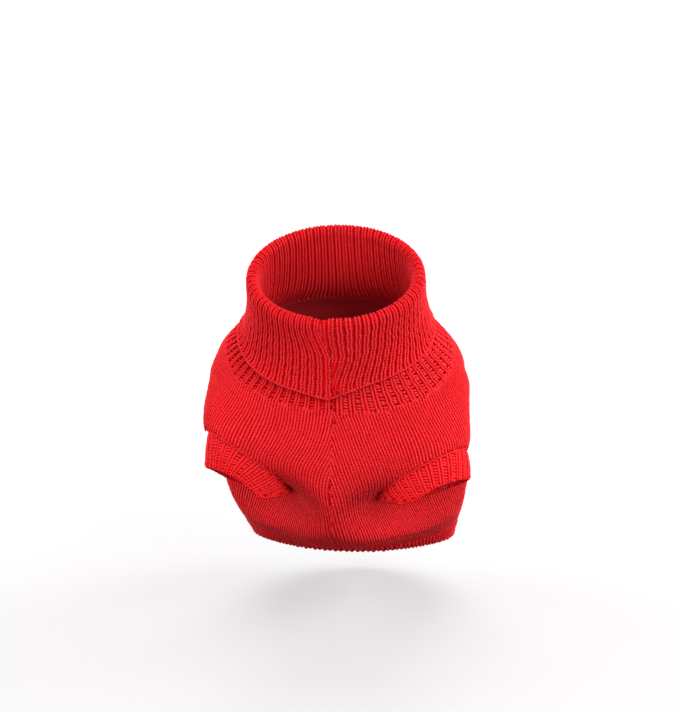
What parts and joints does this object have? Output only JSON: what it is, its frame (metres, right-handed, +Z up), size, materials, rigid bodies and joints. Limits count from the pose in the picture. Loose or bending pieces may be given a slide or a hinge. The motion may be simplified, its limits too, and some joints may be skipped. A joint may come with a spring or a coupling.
{
  "type": "dog sweater",
  "caption": "Turtleneck sweater for a small dog in its worn hollow form: stocking-knit body, folded rib collar, rib leg cuffs and rib hem.",
  "frame": {"origin": "where the wearer's neck carries the sweater, at the middle of the neck seam", "axes": "-Y towards the wearer's chest and front, +X towards the wearer's left, +Z up; a sitting wearer, so the back slopes down behind"},
  "size_m": [0.147, 0.2504, 0.2123],
  "materials": {
    "stocking_knit": "matt acrylic stocking stitch",
    "rib_collar": "matt acrylic rib knit",
    "rib_cuffs": "matt acrylic rib knit",
    "rib_hem": "matt acrylic rib knit"
  },
  "bodies": {
    "root": {"body": "stocking_knit", "collar": "rib_collar", "cuff_left_leg": "rib_cuffs", "cuff_right_leg": "rib_cuffs", "hem_band": "rib_hem"}
  },
  "joints": []
}
